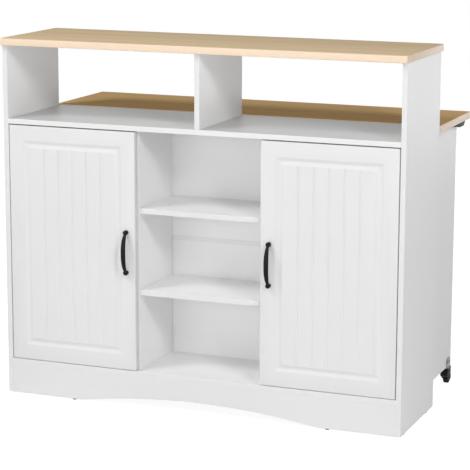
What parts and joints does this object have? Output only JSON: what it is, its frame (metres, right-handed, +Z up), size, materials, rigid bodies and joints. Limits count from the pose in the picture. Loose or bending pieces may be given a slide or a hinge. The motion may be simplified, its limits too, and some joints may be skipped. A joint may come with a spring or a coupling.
{
  "type": "rolling kitchen island",
  "caption": "White kitchen island with an oak-look bar top, open cubbies, beadboard doors around niche shelves, and a rear drop leaf held up by swing-out legs on casters.",
  "frame": {"origin": "on the floor, under the middle of the whole outline seen from above", "axes": "+X along the counter to the right seen from the doors, +Y from the doors to the drop leaf, +Z up"},
  "size_m": [1.204, 0.686, 1.044],
  "materials": {
    "white_board": "satin white faced board",
    "back_sheet": "white painted hardboard",
    "white_plastic": "white profile",
    "oak_board": "oak-look faced board",
    "black_metal": "black powder coat",
    "black_plastic": "moulded black",
    "wheel_hub": "moulded dark grey",
    "wheel_rubber": "black tread",
    "zinc_steel": "bright zinc plate"
  },
  "bodies": {
    "cabinet": {"bar_top": "oak_board", "cubby_floor": "white_board", "cubby_divider": "white_board", "bottom_panel": "white_board", "plinth_front": "white_board", "plinth_rear": "white_board", "back_panel_upper": "back_sheet", "back_panel_lower": "back_sheet", "back_joiner": "white_plastic", "niche_shelf_lower": "white_board", "niche_shelf_upper": "white_board", "shelf_pins": "zinc_steel", "cam_locks": "zinc_steel", "cam_bolts": "zinc_steel", "floor_glides": "black_plastic", "bracket_screws": "zinc_steel", "side_panel_left": "white_board", "side_panel_right": "white_board", "divider_left": "white_board", "divider_right": "white_board", "cabinet_shelf_left": "white_board", "cabinet_shelf_right": "white_board", "hinge_arms_left": "zinc_steel", "hinge_arms_right": "zinc_steel", "corner_bracket_left": "zinc_steel", "corner_bracket_right": "zinc_steel", "foot_bracket_left": "zinc_steel", "foot_bracket_right": "zinc_steel"},
    "leaf": {"drop_leaf": "oak_board", "leaf_pins": "zinc_steel", "leg_catch_left": "black_plastic", "leg_catch_right": "black_plastic"},
    "door_left": {"door_panel_left": "white_board", "door_handle_left": "black_metal", "handle_screws_left": "zinc_steel", "hinge_cups_left": "zinc_steel"},
    "leg_left": {"leg_panel_left": "white_board", "leg_pins_left": "zinc_steel", "caster_bracket_left": "zinc_steel", "cheek_screws_left": "zinc_steel"},
    "caster_left": {"caster_fork_left": "black_plastic", "caster_pins_left": "zinc_steel"},
    "wheel_left": {"tyre_left": "wheel_rubber", "wheel_hub_left": "wheel_hub"},
    "pedal_left": {"brake_pedal_left": "black_plastic"},
    "door_right": {"door_panel_right": "white_board", "door_handle_right": "black_metal", "handle_screws_right": "zinc_steel", "hinge_cups_right": "zinc_steel"},
    "leg_right": {"leg_panel_right": "white_board", "leg_pins_right": "zinc_steel", "caster_bracket_right": "zinc_steel", "cheek_screws_right": "zinc_steel"},
    "caster_right": {"caster_fork_right": "black_plastic", "caster_pins_right": "zinc_steel"},
    "wheel_right": {"tyre_right": "wheel_rubber", "wheel_hub_right": "wheel_hub"},
    "pedal_right": {"brake_pedal_right": "black_plastic"}
  },
  "joints": [
    {"name": "door_left_hinge", "type": "hinge", "parent": "cabinet", "child": "door_left", "pos_m": [-0.582, -0.3125, 0.452], "axis": [0, 0, -1], "range_deg": [0, 105]},
    {"name": "leg_left_swing", "type": "hinge", "parent": "cabinet", "child": "leg_left", "pos_m": [-0.5675, -0.002, 0.425], "axis": [0, 0, -1], "range_deg": [0, 90]},
    {"name": "caster_left_swivel", "type": "hinge", "parent": "leg_left", "child": "caster_left", "pos_m": [-0.5675, 0.259, 0.05], "axis": [0, 0, 1], "continuous": true},
    {"name": "wheel_left_spin", "type": "hinge", "parent": "caster_left", "child": "wheel_left", "pos_m": [-0.5675, 0.275, 0.02], "axis": [1, 0, 0], "continuous": true},
    {"name": "pedal_left_press", "type": "hinge", "parent": "caster_left", "child": "pedal_left", "pos_m": [-0.5675, 0.277, 0.0445], "axis": [-1, 0, 0], "range_deg": [0, 10]},
    {"name": "door_right_hinge", "type": "hinge", "parent": "cabinet", "child": "door_right", "pos_m": [0.582, -0.3125, 0.452], "axis": [0, 0, 1], "range_deg": [0, 105]},
    {"name": "leg_right_swing", "type": "hinge", "parent": "cabinet", "child": "leg_right", "pos_m": [0.5675, -0.002, 0.425], "axis": [0, 0, 1], "range_deg": [0, 90]},
    {"name": "caster_right_swivel", "type": "hinge", "parent": "leg_right", "child": "caster_right", "pos_m": [0.5675, 0.259, 0.05], "axis": [0, 0, 1], "continuous": true},
    {"name": "wheel_right_spin", "type": "hinge", "parent": "caster_right", "child": "wheel_right", "pos_m": [0.5675, 0.275, 0.02], "axis": [1, 0, 0], "continuous": true},
    {"name": "pedal_right_press", "type": "hinge", "parent": "caster_right", "child": "pedal_right", "pos_m": [0.5675, 0.277, 0.0445], "axis": [-1, 0, 0], "range_deg": [0, 10]},
    {"name": "leaf_hinge", "type": "hinge", "parent": "cabinet", "child": "leaf", "pos_m": [0, 0.02, 0.805], "axis": [1, 0, 0], "range_deg": [0, 60]}
  ]
}
